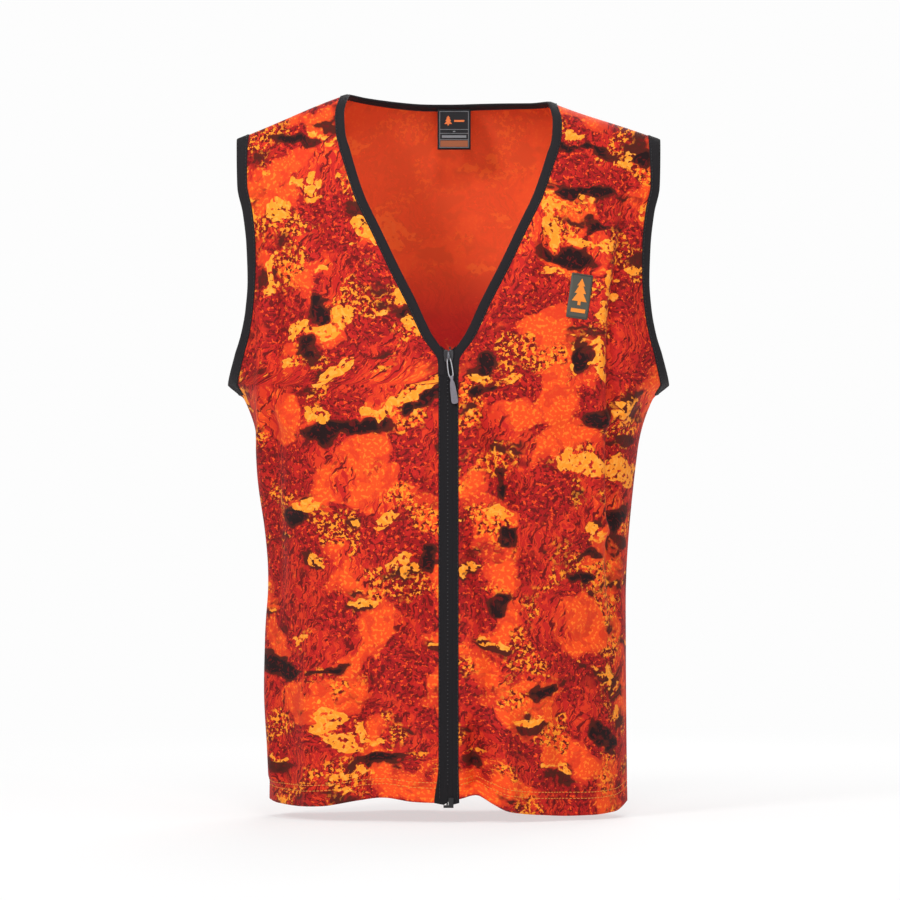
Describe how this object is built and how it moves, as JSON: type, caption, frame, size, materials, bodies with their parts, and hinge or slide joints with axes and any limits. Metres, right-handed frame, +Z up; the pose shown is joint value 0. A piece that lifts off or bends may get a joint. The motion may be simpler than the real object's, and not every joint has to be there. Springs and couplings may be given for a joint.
{
  "type": "camouflage vest",
  "caption": "Sleeveless blaze orange camouflage vest: deep V neck, black bound edges, separating front zip with a corded pull, open armholes and hem.",
  "frame": {"origin": "centre of the bounding box on the plane of the hem", "axes": "+X to the wearer's left, +Y to the wearer's back, +Z up from hem to shoulders"},
  "size_m": [0.4484, 0.243, 0.7295],
  "materials": {
    "shell": "printed knit",
    "binding": "ribbed elastic tape",
    "tape": "woven tape",
    "teeth": "moulded",
    "slider_metal": "painted",
    "link_metal": "plated wire",
    "pull_rubber": "moulded",
    "label": "woven",
    "patch": "moulded",
    "thread": "polyester thread"
  },
  "bodies": {
    "back": {"back_panel": "shell", "neck_binding_back": "binding", "armhole_binding_left": "binding", "armhole_binding_right": "binding", "hem_topstitch_back": "thread"},
    "front_left": {"front_left_panel": "shell", "neck_binding_left": "binding", "hem_topstitch_left": "thread", "chest_patch": "patch", "zip_tape_left": "tape", "zip_teeth_left": "teeth", "zip_top_stop": "teeth", "zip_retainer_pin": "teeth", "zip_retainer_box": "teeth"},
    "front_right": {"front_right_panel": "shell", "neck_binding_right": "binding", "hem_topstitch_right": "thread", "zip_tape_right": "tape", "zip_teeth_right": "teeth", "zip_insertion_pin": "teeth"},
    "slider": {"zip_slider_body": "slider_metal", "slider_crown": "slider_metal"},
    "link": {"pull_link": "link_metal"},
    "tab": {"pull_tab": "pull_rubber"},
    "label": {"neck_label": "label"}
  },
  "joints": [
    {"name": "front_left_swing", "type": "hinge", "parent": "back", "child": "front_left", "pos_m": [0.183, 0.0063, 0], "axis": [0, 0, 1], "range_deg": [0, 50], "deforming": ["front_left_panel", "neck_binding_left"]},
    {"name": "front_right_swing", "type": "hinge", "parent": "back", "child": "front_right", "pos_m": [-0.183, 0.0063, 0], "axis": [0, 0, -1], "range_deg": [0, 50], "deforming": ["front_right_panel", "neck_binding_right"]},
    {"name": "slider_travel", "type": "slide", "parent": "front_left", "child": "slider", "axis": [0, 0, -1], "range_m": [0, 0.4268], "deforming": ["zip_teeth_left", "zip_teeth_right", "zip_tape_left", "zip_tape_right"]},
    {"name": "link_pivot", "type": "hinge", "parent": "slider", "child": "link", "pos_m": [0, -0.1186, 0.4634], "axis": [-0.9903, 0, -0.1392], "range_deg": [0, 90]},
    {"name": "tab_pivot", "type": "hinge", "parent": "link", "child": "tab", "pos_m": [0.00275, -0.1186, 0.44378], "axis": [-0.9903, 0, -0.1392], "range_deg": [0, 90]},
    {"name": "label_flip", "type": "hinge", "parent": "back", "child": "label", "pos_m": [0.0057, 0.05452, 0.71403], "axis": [-1, 0, 0], "range_deg": [0, 75]}
  ]
}
